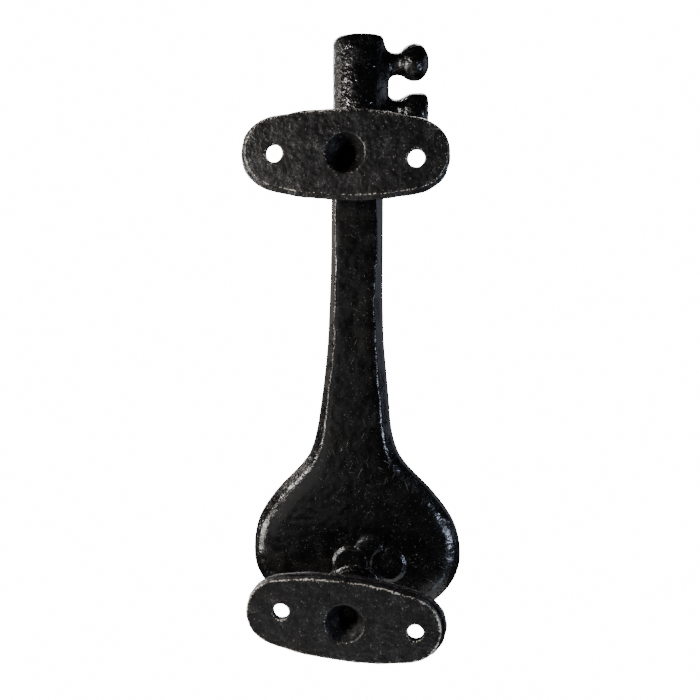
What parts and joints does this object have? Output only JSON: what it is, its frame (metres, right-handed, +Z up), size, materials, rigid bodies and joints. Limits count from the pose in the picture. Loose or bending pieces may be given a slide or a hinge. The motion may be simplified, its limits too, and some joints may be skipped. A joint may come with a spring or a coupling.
{
  "type": "shutter holdback",
  "caption": "Cast iron shutter holdback: a paddle-ended arm with ball studs on its head, carried clear of the wall on swivelling oval feet.",
  "frame": {"origin": "where the upper post's axis meets the upper foot's wall face", "axes": "+Z up the arm towards its head, +Y out of the back at the wall, +X to the right as seen from the front"},
  "size_m": [0.0758, 0.0471, 0.2121],
  "materials": {
    "arm_casting": "black semi-gloss enamel over a sand casting, scratched and worn at the edges",
    "foot_casting": "dull black enamel over a rough sand casting, worn to grey on the rims",
    "screw_steel": "blackened slotted machine screw"
  },
  "bodies": {
    "upper_foot": {"upper_foot": "foot_casting", "upper_arm_screw": "screw_steel"},
    "arm": {"holdback_arm": "arm_casting"},
    "lower_foot": {"lower_foot": "foot_casting", "lower_arm_screw": "screw_steel"}
  },
  "joints": [
    {"name": "arm_swivel", "type": "hinge", "parent": "upper_foot", "child": "arm", "pos_m": [0, 0, 0], "axis": [0, 1, 0], "continuous": true},
    {"name": "lower_foot_swivel", "type": "hinge", "parent": "arm", "child": "lower_foot", "pos_m": [0, 0, -0.155], "axis": [0, 1, 0], "continuous": true}
  ]
}
